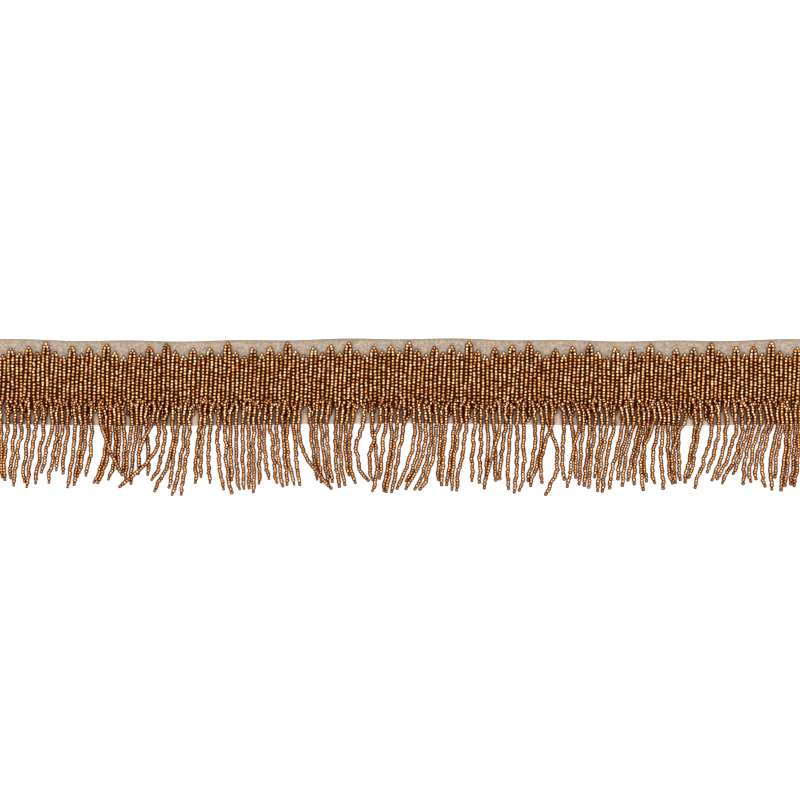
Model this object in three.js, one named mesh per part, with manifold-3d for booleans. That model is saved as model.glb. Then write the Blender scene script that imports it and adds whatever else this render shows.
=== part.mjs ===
// Beaded fringe trim: a soft beige tape covered with side-by-side loops of bronze seed beads, and
// a fringe of bead strands that hangs from a row of stitches across the loops' lower ends.
// It is a cut length that lies flat on its back. Millimetres, +Z up, +X along the trim, and +Y
// across it, away from the fringe. The origin is the centre of the tape's back face.
import * as THREE from "three";
import Module from "manifold-3d";

const wasm = await Module();
wasm.setup();

// Seed beads of size 11/0, in rows sewn side by side.
const BEAD_DIAMETER = 2.3;
const ROW_PITCH = 2.42;
const PIECE_GAP = 0.3;

// The cut length, its tape, and the waves that its edges make as it lies.
const TRIM_LENGTH = 450;
const TAPE_WIDTH = 47.5;
const TAPE_THICKNESS = 1;
const TAPE_STEP = 9;
const TRIM_WANDER = { height: 0.65, length: 275, crest: 228 };
const FREE_EDGE_RIPPLE = { height: 0.3, length: 61, crest: 12 };

// Bead loops: two rows each, closed at both ends by one bead. Their half lengths repeat.
const LOOP_PITCH = 2 * ROW_PITCH;
const LOOP_COUNT = Math.round(TRIM_LENGTH / LOOP_PITCH);
const LOOP_HALF_LENGTHS = [22.5, 18, 15.4, 19.6, 16.7, 20.2, 16.9];
const FIRST_IN_REPEAT = 2;
const LOOP_BASE = TAPE_THICKNESS + PIECE_GAP;

// One row for each line along a loop, in bead row pitches from its middle. short: how far the
// line ends short of the loop's tip. height and end: its height along the loop and at its ends.
const LOOP_COLUMNS = [
  { across: -0.94, short: 3.2, height: 0.7, end: 0.7 },
  { across: -0.5, short: 1.9, height: BEAD_DIAMETER, end: 1.4 },
  { across: 0, short: 0, height: 1.2, end: 1.5 },
  { across: 0.5, short: 1.9, height: BEAD_DIAMETER, end: 1.4 },
  { across: 0.94, short: 3.2, height: 0.7, end: 0.7 },
];

// The fringe: strands sewn at an even pitch to a narrow strip, over the loops. They fall past
// the tape's lower edge, and lie level on what the trim lies on.
const STRIP = { low: -11.5, high: -9.5, base: LOOP_BASE + BEAD_DIAMETER + PIECE_GAP, height: 2.2 };
const STRAND_WIDTH = 2.1;
const STRAND_HEIGHT = 2.2;
const STRAND_PITCH_MIN = 2.46;
const STRAND_LIFT = STRAND_HEIGHT + PIECE_GAP;
const STRAND_OVER_LOOPS = STRIP.base + 0.1;
const ROOT_LINE = -10.5;
const EDGE_LINE = -24;
const FLOOR_LINE = -28.5;
const FLOOR_STEP = 7;
const FLOOR_STEPS = 6;
const SHORTEST_END = 2;
const SPREAD_PASSES = 200;
const END_MARGIN = 1.2;

// How far one strand strays from its lock: along the trim at half its drop and at its tip, at
// each line across the fringe, and in its length.
const STRAY = { middle: 0.5, tip: 1.2, line: 0.3, drop: 4.5 };

// Lines across the fringe, at which every strand is placed, and the height of a strand there.
const FRINGE_LINES = [
  { y: ROOT_LINE, base: STRAND_OVER_LOOPS },
  { y: -22, base: STRAND_OVER_LOOPS },
  ...Array.from({ length: FLOOR_STEPS + 1 }, (_, step) => ({
    y: FLOOR_LINE - step * FLOOR_STEP,
    base: 0,
  })),
];

// One row for each lock of strands, in their order along the strip. from and to: where it
// crosses the tape's lower edge, from the trim's left end. sway and lean: how far it has moved
// along the trim at half its drop, and at its tips. gather: its width at the tips as a share of
// its width at the edge. drop: how far its tips lie below the tape. over: it crosses others.
const LOCKS = [
  { strands: 7, from: 1.5, to: 25.6, sway: -2.4, lean: -4.3, gather: 0.9, drop: 32.1 },
  { strands: 4, from: 30.7, to: 39.1, sway: -2.8, lean: -5.3, gather: 1.4, drop: 30.8 },
  { strands: 4, from: 43.3, to: 52.3, sway: -1.7, lean: -5.1, gather: 0.95, drop: 33.5 },
  { strands: 1, from: 57.9, to: 57.9, sway: 5.9, lean: 13.5, gather: 1, drop: 31.4, over: true },
  { strands: 3, from: 60.7, to: 65.8, sway: -1.7, lean: -8.1, gather: 1.3, drop: 34.2 },
  { strands: 2, from: 66.9, to: 69.3, sway: 0, lean: 0.5, gather: 1.4, drop: 30 },
  { strands: 4, from: 74.8, to: 82.3, sway: -1.1, lean: -2.2, gather: 1.9, drop: 31.4 },
  { strands: 1, from: 86.6, to: 86.6, sway: -6.6, lean: -8, gather: 1, drop: 28.8, over: true },
  { strands: 1, from: 88.9, to: 88.9, sway: -2.5, lean: -17.4, gather: 1, drop: 31.4, over: true },
  { strands: 2, from: 93.4, to: 97.3, sway: -1.8, lean: -9, gather: 0.6, drop: 35.3 },
  { strands: 3, from: 100.9, to: 106.9, sway: -1.9, lean: -5.5, gather: 1.2, drop: 37.3 },
  { strands: 3, from: 112.9, to: 118.7, sway: -1.9, lean: -1, gather: 1.3, drop: 34 },
  { strands: 4, from: 123.4, to: 133, sway: 0.3, lean: 1.8, gather: 0.85, drop: 35.7 },
  { strands: 4, from: 137.2, to: 145.9, sway: -0.1, lean: 0.6, gather: 0.95, drop: 37.8 },
  { strands: 6, from: 149.1, to: 165.3, sway: 1.3, lean: 3.1, gather: 1, drop: 36 },
  { strands: 1, from: 168.1, to: 168.1, sway: 4.2, lean: 18.6, gather: 1, drop: 35.9, over: true },
  { strands: 4, from: 174.7, to: 183.9, sway: 1.3, lean: 3.9, gather: 1, drop: 32.9 },
  { strands: 4, from: 189.4, to: 198, sway: -0.6, lean: 1.6, gather: 0.95, drop: 32.8 },
  { strands: 1, from: 204.4, to: 204.4, sway: -4, lean: 4, gather: 1, drop: 32.5, over: true },
  { strands: 1, from: 209.2, to: 209.2, sway: 2.6, lean: 1.7, gather: 1, drop: 34 },
  { strands: 1, from: 214, to: 214, sway: -6.2, lean: -5.3, gather: 1, drop: 32.5, over: true },
  { strands: 4, from: 217.1, to: 227.1, sway: -2.4, lean: -5.7, gather: 0.7, drop: 35.1 },
  { strands: 5, from: 233.2, to: 245.3, sway: -1.8, lean: -9.1, gather: 1.1, drop: 34.3 },
  { strands: 2, from: 248.1, to: 250.9, sway: -1.6, lean: -2.3, gather: 0.9, drop: 36.4 },
  { strands: 3, from: 255.9, to: 262, sway: -2.7, lean: -5.6, gather: 0.95, drop: 34.3 },
  { strands: 4, from: 267.2, to: 277.3, sway: -0.1, lean: -0.8, gather: 1.3, drop: 33.9 },
  { strands: 1, from: 281.2, to: 281.2, sway: -3.2, lean: -9.2, gather: 1, drop: 30.8, over: true },
  { strands: 4, from: 284.1, to: 294.2, sway: -0.9, lean: -1.7, gather: 1.4, drop: 36.8 },
  { strands: 2, from: 300.9, to: 304.8, sway: -1.7, lean: -7.3, gather: 0.75, drop: 33.9 },
  { strands: 1, from: 307.7, to: 307.7, sway: 5.3, lean: 0, gather: 1, drop: 36.4 },
  { strands: 1, from: 310.4, to: 310.4, sway: -5.3, lean: -5.9, gather: 1, drop: 34.2, over: true },
  { strands: 1, from: 317.2, to: 317.2, sway: -1.6, lean: -1.1, gather: 1, drop: 32.8 },
  { strands: 1, from: 321.2, to: 321.2, sway: 2.6, lean: 1.9, gather: 1, drop: 35.3 },
  { strands: 1, from: 325.7, to: 325.7, sway: -4, lean: -7.3, gather: 1, drop: 31.7, over: true },
  { strands: 6, from: 328.2, to: 345.1, sway: -2.9, lean: -4.3, gather: 0.8, drop: 34.8 },
  { strands: 5, from: 350.3, to: 362, sway: -4.3, lean: -7, gather: 1.15, drop: 35.6 },
  { strands: 1, from: 364.5, to: 364.5, sway: -2.7, lean: 0.6, gather: 1, drop: 36.4 },
  { strands: 1, from: 367.1, to: 367.1, sway: -6.5, lean: -7.3, gather: 1, drop: 33.1, over: true },
  { strands: 3, from: 370.4, to: 375.6, sway: -2.1, lean: -1.1, gather: 2.2, drop: 34.4 },
  { strands: 2, from: 377.9, to: 380.8, sway: 0.5, lean: 0.7, gather: 1, drop: 32.5 },
  { strands: 1, from: 383.9, to: 383.9, sway: -6, lean: -5.9, gather: 1, drop: 30.5, over: true },
  { strands: 2, from: 390.3, to: 393.1, sway: -3, lean: -6.1, gather: 1, drop: 33.3 },
  { strands: 3, from: 399.8, to: 408, sway: -3, lean: -9.3, gather: 1.15, drop: 32.1 },
  { strands: 3, from: 413.9, to: 420.8, sway: -4.3, lean: -11.1, gather: 1.25, drop: 32 },
  { strands: 3, from: 424, to: 431.4, sway: -5.8, lean: -6.9, gather: 0.85, drop: 33.5 },
  { strands: 3, from: 433.6, to: 441.3, sway: -5, lean: -4.6, gather: 0.85, drop: 35.1 },
  { strands: 4, from: 442.6, to: 448.8, sway: -1.5, lean: -3.3, gather: 1.4, drop: 33.5 },
];

const fabric = new THREE.MeshStandardMaterial({ color: 0xbea995, roughness: 0.95, metalness: 0 });
const bronze = new THREE.MeshStandardMaterial({ color: 0x9a653b, roughness: 0.35, metalness: 0.9 });

// The height of a wave at x, which crests at crest millimetres from the trim's left end.
function wave(x, { height, length, crest }) {
  return height * Math.cos((2 * Math.PI * (x + TRIM_LENGTH / 2 - crest)) / length);
}

// A number from -1 to 1 for a strand, the same each time, with a series for each purpose.
function scatter(index, series) {
  const mixed = Math.sin(index * 12.9898 + series * 78.233) * 43758.5453;
  return 2 * (mixed - Math.floor(mixed)) - 1;
}

// A closed solid through rings of points. A ring runs anticlockwise seen from the last one.
function loft(rings) {
  const size = rings[0].length;
  const last = (rings.length - 1) * size;
  const index = [];
  for (let start = 0; start < last; start += size) {
    for (let side = 0; side < size; side++) {
      const a = start + side;
      const b = start + ((side + 1) % size);
      index.push(a, b, b + size, a, b + size, a + size);
    }
  }
  for (let corner = 1; corner + 1 < size; corner++) {
    index.push(0, corner + 1, corner);
    index.push(last, last + corner, last + corner + 1);
  }
  const geometry = new THREE.BufferGeometry();
  geometry.setAttribute("position", new THREE.Float32BufferAttribute(rings.flat(2), 3));
  geometry.setIndex(index);
  return geometry;
}

// Closed geometries joined into one.
function join(geometries) {
  const solids = geometries.map((geometry) => {
    const vertProperties = geometry.getAttribute("position").array;
    const triVerts = new Uint32Array(geometry.getIndex().array);
    return new wasm.Manifold(new wasm.Mesh({ numProp: 3, vertProperties, triVerts }));
  });
  const { vertProperties, triVerts } = wasm.Manifold.union(solids).getMesh();
  const joined = new THREE.BufferGeometry();
  joined.setAttribute("position", new THREE.BufferAttribute(vertProperties, 3));
  joined.setIndex(new THREE.BufferAttribute(triVerts, 1));
  return joined;
}

// The x of each step along the trim, from its left end to its right one, inside a margin.
function stepsAlong(margin) {
  const steps = Math.round(TRIM_LENGTH / TAPE_STEP);
  const reach = TRIM_LENGTH / 2 - margin;
  return Array.from({ length: steps + 1 }, (_, step) => reach * ((2 * step) / steps - 1));
}

// The tape: a flat ribbon. Both edges follow the trim's wander, and the free one ripples too.
function backingTape() {
  const lower = stepsAlong(0).map(
    (x) => new THREE.Vector2(x, wave(x, TRIM_WANDER) - TAPE_WIDTH / 2),
  );
  const upper = stepsAlong(0).map(
    (x) => new THREE.Vector2(x, wave(x, TRIM_WANDER) + wave(x, FREE_EDGE_RIPPLE) + TAPE_WIDTH / 2),
  );
  const outline = new THREE.Shape([...lower, ...upper.reverse()]);
  return new THREE.ExtrudeGeometry(outline, { depth: TAPE_THICKNESS, bevelEnabled: false });
}

// The loops, side by side in one ribbed sheet. Each ring is a cut across the sheet, with its
// back, its two ends, and the two places where the end bead meets the row.
function beadRows() {
  const rings = [];
  for (let loop = 0; loop < LOOP_COUNT; loop++) {
    const middle = (loop + 0.5) * LOOP_PITCH - (LOOP_COUNT * LOOP_PITCH) / 2;
    const half = LOOP_HALF_LENGTHS[(loop + FIRST_IN_REPEAT) % LOOP_HALF_LENGTHS.length];
    for (const column of LOOP_COLUMNS) {
      const x = middle + column.across * ROW_PITCH;
      const centre = wave(x, TRIM_WANDER);
      const tip = half - column.short;
      const shoulder = tip - BEAD_DIAMETER;
      rings.push([
        [x, centre - tip, LOOP_BASE],
        [x, centre + tip, LOOP_BASE],
        [x, centre + tip, LOOP_BASE + column.end],
        [x, centre + shoulder, LOOP_BASE + column.height],
        [x, centre - shoulder, LOOP_BASE + column.height],
        [x, centre - tip, LOOP_BASE + column.end],
      ]);
    }
  }
  return loft(rings);
}

// The strands before they are placed: where each is sewn, crosses the tape's edge and ends.
function sewnStrands() {
  const strands = [];
  const total = LOCKS.reduce((sum, lock) => sum + lock.strands, 0);
  for (const lock of LOCKS) {
    for (let member = 0; member < lock.strands; member++) {
      const index = strands.length;
      const share = lock.strands > 1 ? member / (lock.strands - 1) - 0.5 : 0;
      const spread = share * (lock.to - lock.from);
      strands.push({
        over: Boolean(lock.over),
        root: ((index + 0.5) / total - 0.5) * TRIM_LENGTH,
        edge: (lock.from + lock.to - TRIM_LENGTH) / 2 + spread,
        sway: lock.sway + (spread * (lock.gather - 1)) / 2 + STRAY.middle * scatter(index, 1),
        lean: lock.lean + spread * (lock.gather - 1) + STRAY.tip * scatter(index, 2),
        drop: lock.drop + STRAY.drop * scatter(index, 3),
        lockDrop: lock.drop,
      });
    }
  }
  return strands;
}

// Where a strand would lie on a line at y. Above the tape's edge it runs straight from its
// root, and below it a parabola takes it through its sway and its lean.
function freeAcross(strand, y) {
  if (y > EDGE_LINE) {
    const share = (ROOT_LINE - y) / (ROOT_LINE - EDGE_LINE);
    return strand.root + share * (strand.edge - strand.root);
  }
  const fall = (EDGE_LINE - y) / strand.lockDrop;
  return strand.edge + 4 * strand.sway * fall * (1 - fall) + strand.lean * fall * (2 * fall - 1);
}

// Pushes strands that are too close on a line apart, half the way each, a little at a time.
function spreadApart(row) {
  const reach = TRIM_LENGTH / 2 - END_MARGIN;
  for (let pass = 0; pass < SPREAD_PASSES; pass++) {
    for (let right = 1; right < row.length; right++) {
      const push = Math.max(0, STRAND_PITCH_MIN - (row[right].x - row[right - 1].x)) / 2;
      row[right - 1].x = Math.max(-reach, row[right - 1].x - push);
      row[right].x = Math.min(reach, row[right].x + push);
    }
  }
}

// Lifts a strand over every earlier one that it meets between two lines.
function liftOver(strand, earlier) {
  for (let line = 0; line + 1 < FRINGE_LINES.length; line++) {
    for (const other of earlier) {
      const here = strand.places[line].x - other.places[line].x;
      const next = strand.places[line + 1].x - other.places[line + 1].x;
      const nearest = here * next < 0 ? 0 : Math.min(Math.abs(here), Math.abs(next));
      if (nearest < STRAND_WIDTH + PIECE_GAP) {
        const level = Math.max(other.places[line].level, other.places[line + 1].level) + 1;
        strand.places[line].level = Math.max(strand.places[line].level, level);
        strand.places[line + 1].level = Math.max(strand.places[line + 1].level, level);
      }
    }
  }
}

// The strands with their places on each line: side by side, and the crossing ones on top.
function placedStrands() {
  const strands = sewnStrands();
  strands.forEach((strand, index) => {
    strand.places = FRINGE_LINES.map(({ y, base }, line) => ({
      x: freeAcross(strand, y) + (line ? STRAY.line * scatter(index, line + 3) : 0),
      y,
      base,
      level: 0,
    }));
  });
  const settled = strands.filter((strand) => !strand.over);
  for (const line of FRINGE_LINES.keys()) {
    spreadApart(settled.map((strand) => strand.places[line]));
  }
  for (const strand of strands.filter((each) => each.over)) {
    liftOver(strand, settled);
    settled.push(strand);
  }
  return strands;
}

// One strand, four-sided, from its root to its tip.
function strandSolid(strand) {
  const tip = EDGE_LINE - strand.drop;
  const kept = strand.places.filter(({ y }) => y > tip + SHORTEST_END);
  const above = kept.at(-1);
  const below = strand.places[kept.length];
  const share = (above.y - tip) / (above.y - below.y);
  const end = { ...below, x: above.x + share * (below.x - above.x), y: tip };
  const rings = [...kept, end].map(({ x, y, base, level }) => {
    const low = base + level * STRAND_LIFT;
    const side = STRAND_WIDTH / 2;
    return [
      [x - side, y, low],
      [x + side, y, low],
      [x + side, y, low + STRAND_HEIGHT],
      [x - side, y, low + STRAND_HEIGHT],
    ];
  });
  return loft(rings);
}

// The fringe: all strands, joined at their roots by the strip that they are sewn along.
function beadFringe() {
  const strip = loft(
    stepsAlong(END_MARGIN).map((x) => [
      [x, STRIP.low, STRIP.base],
      [x, STRIP.high, STRIP.base],
      [x, STRIP.high, STRIP.base + STRIP.height],
      [x, STRIP.low, STRIP.base + STRIP.height],
    ]),
  );
  return join([strip, ...placedStrands().map(strandSolid)]);
}

// A named piece of the trim.
function piece(name, geometry, material) {
  geometry.computeVertexNormals();
  const mesh = new THREE.Mesh(geometry, material);
  mesh.name = name;
  return mesh;
}

const group = new THREE.Group();
group.add(piece("backing_tape", backingTape(), fabric));
group.add(piece("bead_rows", beadRows(), bronze));
group.add(piece("bead_fringe", beadFringe(), bronze));

export default group;
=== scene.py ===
"""Beaded fringe trim: a beige tape covered with loops of bronze seed beads, and a bead fringe.

The trim lies flat on its back, +X along it and +Y across it, away from the fringe. Sizes in the
table and the dataclasses are in millimetres, and become metres when a mesh is made, except where
a docstring says metres.
"""

import logging
import math
from dataclasses import dataclass, fields
from enum import Enum, IntEnum

import bpy
import numpy as np
from numpy.typing import NDArray
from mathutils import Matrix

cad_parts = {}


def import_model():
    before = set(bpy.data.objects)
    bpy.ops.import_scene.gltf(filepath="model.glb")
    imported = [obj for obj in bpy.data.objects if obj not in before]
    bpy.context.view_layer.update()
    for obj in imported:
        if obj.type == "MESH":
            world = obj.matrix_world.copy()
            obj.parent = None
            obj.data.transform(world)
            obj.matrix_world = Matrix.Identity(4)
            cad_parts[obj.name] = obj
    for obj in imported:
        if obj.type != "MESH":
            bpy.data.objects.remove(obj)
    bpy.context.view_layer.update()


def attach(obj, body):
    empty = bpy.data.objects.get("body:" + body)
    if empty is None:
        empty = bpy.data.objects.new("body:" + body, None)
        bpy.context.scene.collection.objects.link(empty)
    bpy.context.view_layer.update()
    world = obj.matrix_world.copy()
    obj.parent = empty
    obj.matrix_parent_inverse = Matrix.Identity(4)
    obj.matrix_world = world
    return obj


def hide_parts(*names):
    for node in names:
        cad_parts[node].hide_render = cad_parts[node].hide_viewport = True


Floats = NDArray[np.float64]
Ints = NDArray[np.int64]
Chance = np.random.Generator
Colour = tuple[float, float, float]
Place = tuple[float, float, float]
Span = tuple[float, float]
Piece = bpy.types.Object
Material = bpy.types.Material
Tree = bpy.types.NodeTree
Socket = bpy.types.NodeSocket

MM = 0.001
SEED = 11
LOG = logging.getLogger("trim")

# A full turn in radians, rounded down.
FULL_TURN = 6.28

# What scatter() multiplies with, as in the part's source.
SCATTER_INDEX, SCATTER_SERIES, SCATTER_SIZE = 12.9898, 78.233, 43758.5453

# The sockets of a Mix node that mixes colours.
MIX_SHARE, MIX_FIRST, MIX_SECOND, MIX_RESULT = 0, 6, 7, 2

# The speckles' noise: how fine it gets, and the values that it is spread out between.
NOISE_DETAIL, NOISE_RANGE = 3.0, (0.3, 0.7)

# The length of a wave in Blender's wave texture at scale 1, in metres.
WAVE_LENGTH = 0.314


class Slot(Enum):
    """The record's material slots."""

    TAPE = "tape"
    BEADS = "beads"


class Node(Enum):
    """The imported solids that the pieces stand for."""

    TAPE = "backing_tape"
    ROWS = "bead_rows"
    FRINGE = "bead_fringe"


class Series(IntEnum):
    """Which of scatter's runs of numbers moves what. The runs after DROP are the lines' own."""

    SWAY = 1
    LEAN = 2
    DROP = 3


def scatter(index: Floats, series: int) -> Floats:
    """Numbers from -1 to 1, the same each time: the digits far behind the point of a sine.

    Args:
        index: The strands' places along the strip.
        series: A whole number for each purpose, from Series.

    Returns:
        One number for each strand.
    """
    mixed = np.sin(index * SCATTER_INDEX + series * SCATTER_SERIES) * SCATTER_SIZE
    return 2 * (mixed - np.floor(mixed)) - 1


def unit(vectors: Floats) -> Floats:
    """Rows of vectors, each divided by its length."""
    return vectors / np.linalg.norm(vectors, axis=-1, keepdims=True)


def bell(distance: Floats, reach: float) -> Floats:
    """A soft bump: 1 at no distance, and almost 0 at twice the reach."""
    return np.exp(-((distance / reach) ** 2))


@dataclass(frozen=True)
class Wave:
    """A cosine along the trim. crest is a crest's place from the trim's left end."""

    height: float
    length: float
    crest: float

    def at(self, x: Floats, trim_length: float) -> Floats:
        """The wave's height at each x, which is measured from the trim's middle."""
        return self.height * np.cos(2 * np.pi * (x + trim_length / 2 - self.crest) / self.length)


@dataclass(frozen=True)
class Ripple:
    """A small sine. length is the way in which its angle grows by one radian."""

    height: float
    length: float

    def at(self, place: Floats, phase: Floats | float = 0.0) -> Floats:
        """The ripple's height at each place."""
        return self.height * np.sin(place / self.length + phase)


@dataclass(frozen=True)
class Trim:
    """Sizes that the sub-assemblies share."""

    length: float = 450.0
    tape_width: float = 47.5
    bead_diameter: float = 2.3
    row_pitch: float = 2.42
    wander: Wave = Wave(0.65, 275, 228)


def mesh_object(name: str, points: Floats, quads: Ints) -> Piece:
    """A smooth-shaded mesh object at the origin.

    Args:
        name: The piece's name.
        points: Corners in millimetres, one row each.
        quads: Four corner numbers for each face, anticlockwise seen from outside.

    Returns:
        The linked object.
    """
    mesh = bpy.data.meshes.new(name)
    mesh.vertices.add(len(points))
    mesh.vertices.foreach_set("co", (points * MM).astype(np.float32).ravel())
    mesh.loops.add(quads.size)
    mesh.loops.foreach_set("vertex_index", quads.astype(np.int32).ravel())
    mesh.polygons.add(len(quads))
    mesh.polygons.foreach_set("loop_start", np.arange(0, quads.size, 4, dtype=np.int32))
    mesh.polygons.foreach_set("use_smooth", np.ones(len(quads), bool))
    mesh.update(calc_edges=True)
    piece = bpy.data.objects.new(name, mesh)
    bpy.context.scene.collection.objects.link(piece)
    return piece


def point_attribute(piece: Piece, name: str, values: Floats) -> None:
    """Gives a mesh one number for each point, which its material reads by name."""
    layer = piece.data.attributes.new(name, "FLOAT", "POINT")
    layer.data.foreach_set("value", values.astype(np.float32).ravel())


def faces_between(*corners: Ints) -> Ints:
    """Faces from four arrays of corner numbers of the same shape, one array for each corner."""
    return np.stack(corners, axis=-1).reshape(-1, 4)


def wrapped_quads(rings: int, sides: int, closed: bool) -> Ints:
    """Faces between neighbouring rings of points, each ring closed on itself.

    Args:
        rings: The number of rings.
        sides: The number of points in a ring.
        closed: Whether the last ring joins the first one.

    Returns:
        Four corner numbers for each face.
    """
    first = np.arange(rings if closed else rings - 1)
    ring, side = np.meshgrid(first, np.arange(sides), indexing="ij")
    here, after, beside = ring * sides, (ring + 1) % rings * sides, (side + 1) % sides
    return faces_between(here + side, here + beside, after + beside, after + side)


class SubAssembly:
    """What the sub-assemblies share: how a piece is dressed."""

    def dress(self, piece: Piece, material: Material, slot: Slot, stands_for: Node) -> None:
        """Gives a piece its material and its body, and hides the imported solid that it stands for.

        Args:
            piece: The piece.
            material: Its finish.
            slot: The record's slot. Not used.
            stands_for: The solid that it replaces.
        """
        piece.data.materials.append(material)
        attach(piece, "root")
        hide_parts(stands_for.value)
        LOG.info("%s: %d faces", piece.name, len(piece.data.polygons))


@dataclass
class Beads:
    """Seed beads, one row of each array for each bead."""

    centres: Floats
    axes: Floats
    radii: Floats
    halves: Floats
    tones: Floats
    polish: Floats
    spins: Floats

    # Radius and height of the bead's section, in its own radius and half length.
    SECTION = ((0.36, -0.8), (0.78, -1.0), (1.0, -0.45), (1.0, 0.45), (0.78, 1.0), (0.36, 0.8))
    AROUND = 8

    # How far beads differ from the common radius and length, and how far at most.
    RADIUS_SPREAD, RADIUS_LIMITS = 0.045, (0.89, 1.06)
    LENGTH_SPREAD, LENGTH_LIMITS = 0.08, (0.8, 1.15)

    # Both shape numbers of the beta curve that gives a bead's tone, from dark to light.
    TONE_SHAPE = 1.7

    # The part of an axis along Z past which the axis counts as upright.
    UPRIGHT = 0.95

    @classmethod
    def strung(
        cls, centres: Floats, axes: Floats, diameter: float, length: float, rng: Chance
    ) -> "Beads":
        """Beads on their places, each a little off the common size and colour.

        Args:
            centres: The beads' middles, in millimetres.
            axes: The direction of each bead's hole.
            diameter: Their common diameter.
            length: Their common length.
            rng: The seeded source of chance.

        Returns:
            The beads.
        """
        count = len(centres)
        return cls(
            centres=centres,
            axes=unit(axes),
            radii=diameter / 2 * rng.normal(1, cls.RADIUS_SPREAD, count).clip(*cls.RADIUS_LIMITS),
            halves=length / 2 * rng.normal(1, cls.LENGTH_SPREAD, count).clip(*cls.LENGTH_LIMITS),
            tones=rng.beta(cls.TONE_SHAPE, cls.TONE_SHAPE, count),
            polish=rng.random(count),
            spins=rng.uniform(0, 2 * np.pi, count),
        )

    @classmethod
    def joined(cls, groups: list["Beads"]) -> "Beads":
        """Several groups of beads as one."""
        names = [field.name for field in fields(cls)]
        return cls(**{name: np.concatenate([getattr(each, name) for each in groups]) for name in names})

    @classmethod
    def pieces(cls, groups: list["Beads"], sections: int, name: str) -> list[Piece]:
        """Groups of beads as a few joined meshes.

        Args:
            groups: The groups, from left to right.
            sections: The number of meshes.
            name: Their common name, which a number follows.

        Returns:
            The objects, from left to right.
        """
        edges = np.linspace(0, len(groups), sections + 1).astype(int)
        return [
            cls.joined(groups[first:last]).mesh(f"{name}_{number}")
            for number, (first, last) in enumerate(zip(edges[:-1], edges[1:]), start=1)
        ]

    def lighten(self, factor: Floats | float) -> None:
        """Multiplies the tones, so that a factor over 1 gives lighter beads."""
        self.tones = (self.tones * factor).clip(0, 1)

    def mesh(self, name: str) -> Piece:
        """The beads as one joined mesh.

        A bead is its section turned round its axis: with u and v square to the axis a, a point is
        the centre + radius * (u cos angle + v sin angle) * section radius + half * a * height.

        Args:
            name: The piece's name.

        Returns:
            The object, with the attributes tone and polish for each bead.
        """
        section = np.array(self.SECTION)
        sides = len(section)
        steps = np.arange(self.AROUND) * 2 * np.pi / self.AROUND
        angle = steps[None, :, None] + self.spins[:, None, None]
        upright = np.abs(self.axes[:, 2:]) > self.UPRIGHT
        helper = np.where(upright, [[1.0, 0, 0]], [[0, 0, 1.0]])
        u = unit(np.cross(self.axes, helper))
        v = np.cross(self.axes, u)
        out = self.radii[:, None, None] * section[None, None, :, 0]
        up = (self.halves[:, None] * section[None, :, 1])[:, None, :, None]
        points = (
            self.centres[:, None, None, :]
            + (out * np.cos(angle))[..., None] * u[:, None, None, :]
            + (out * np.sin(angle))[..., None] * v[:, None, None, :]
            + up * self.axes[:, None, None, :]
        ).reshape(-1, 3)
        per_bead = self.AROUND * sides
        faces = wrapped_quads(self.AROUND, sides, closed=True)[:, [0, 3, 2, 1]]
        quads = (faces[None] + (np.arange(len(self.radii)) * per_bead)[:, None, None]).reshape(-1, 4)
        piece = mesh_object(name, points, quads)
        point_attribute(piece, "tone", np.repeat(self.tones, per_bead))
        point_attribute(piece, "polish", np.repeat(self.polish, per_bead))
        return piece


@dataclass(frozen=True)
class Thread:
    """Sewing thread, drawn as a four-sided tube.

    upwards is a little off straight up, so that no thread runs exactly along it.
    """

    radius: float = 0.16
    upwards: Place = (0.013, 0.021, 1.0)

    def tube(self, path: Floats, closed: bool) -> tuple[Floats, Ints]:
        """A tube along a path: at each point a square ring, square to the way before and behind.

        Args:
            path: The thread's points.
            closed: Whether it comes back to its first point.

        Returns:
            The points, and four corner numbers for each face.
        """
        if closed:
            way = np.roll(path, -1, axis=0) - np.roll(path, 1, axis=0)
        else:
            way = np.gradient(path, axis=0)
        along = unit(way)
        side = unit(np.cross(along, self.upwards))
        up = np.cross(side, along)
        angle = np.arange(4) * np.pi / 2
        ring = np.cos(angle)[:, None, None] * side + np.sin(angle)[:, None, None] * up
        points = (path + self.radius * ring).transpose(1, 0, 2).reshape(-1, 3)
        quads = wrapped_quads(len(path), 4, closed)
        if not closed:
            last = 4 * (len(path) - 1)
            caps = np.array([[3, 2, 1, 0], [last, last + 1, last + 2, last + 3]])
            quads = np.concatenate([quads, caps])
        return points, quads

    def mesh(self, name: str, paths: list[Floats], closed: bool) -> Piece:
        """Several threads as one joined mesh.

        Args:
            name: The piece's name.
            paths: Each thread's points.
            closed: Whether each comes back to its first point.

        Returns:
            The object.
        """
        points, quads, start = [], [], 0
        for path in paths:
            tube_points, tube_quads = self.tube(path, closed)
            points.append(tube_points)
            quads.append(tube_quads + start)
            start += len(tube_points)
        return mesh_object(name, np.concatenate(points), np.concatenate(quads))


@dataclass
class Strands:
    """Where every strand lies: its place on each line across the fringe, and its tip."""

    line_y: Floats
    base: Floats
    across: Floats
    level: Floats
    tip: Floats


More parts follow.
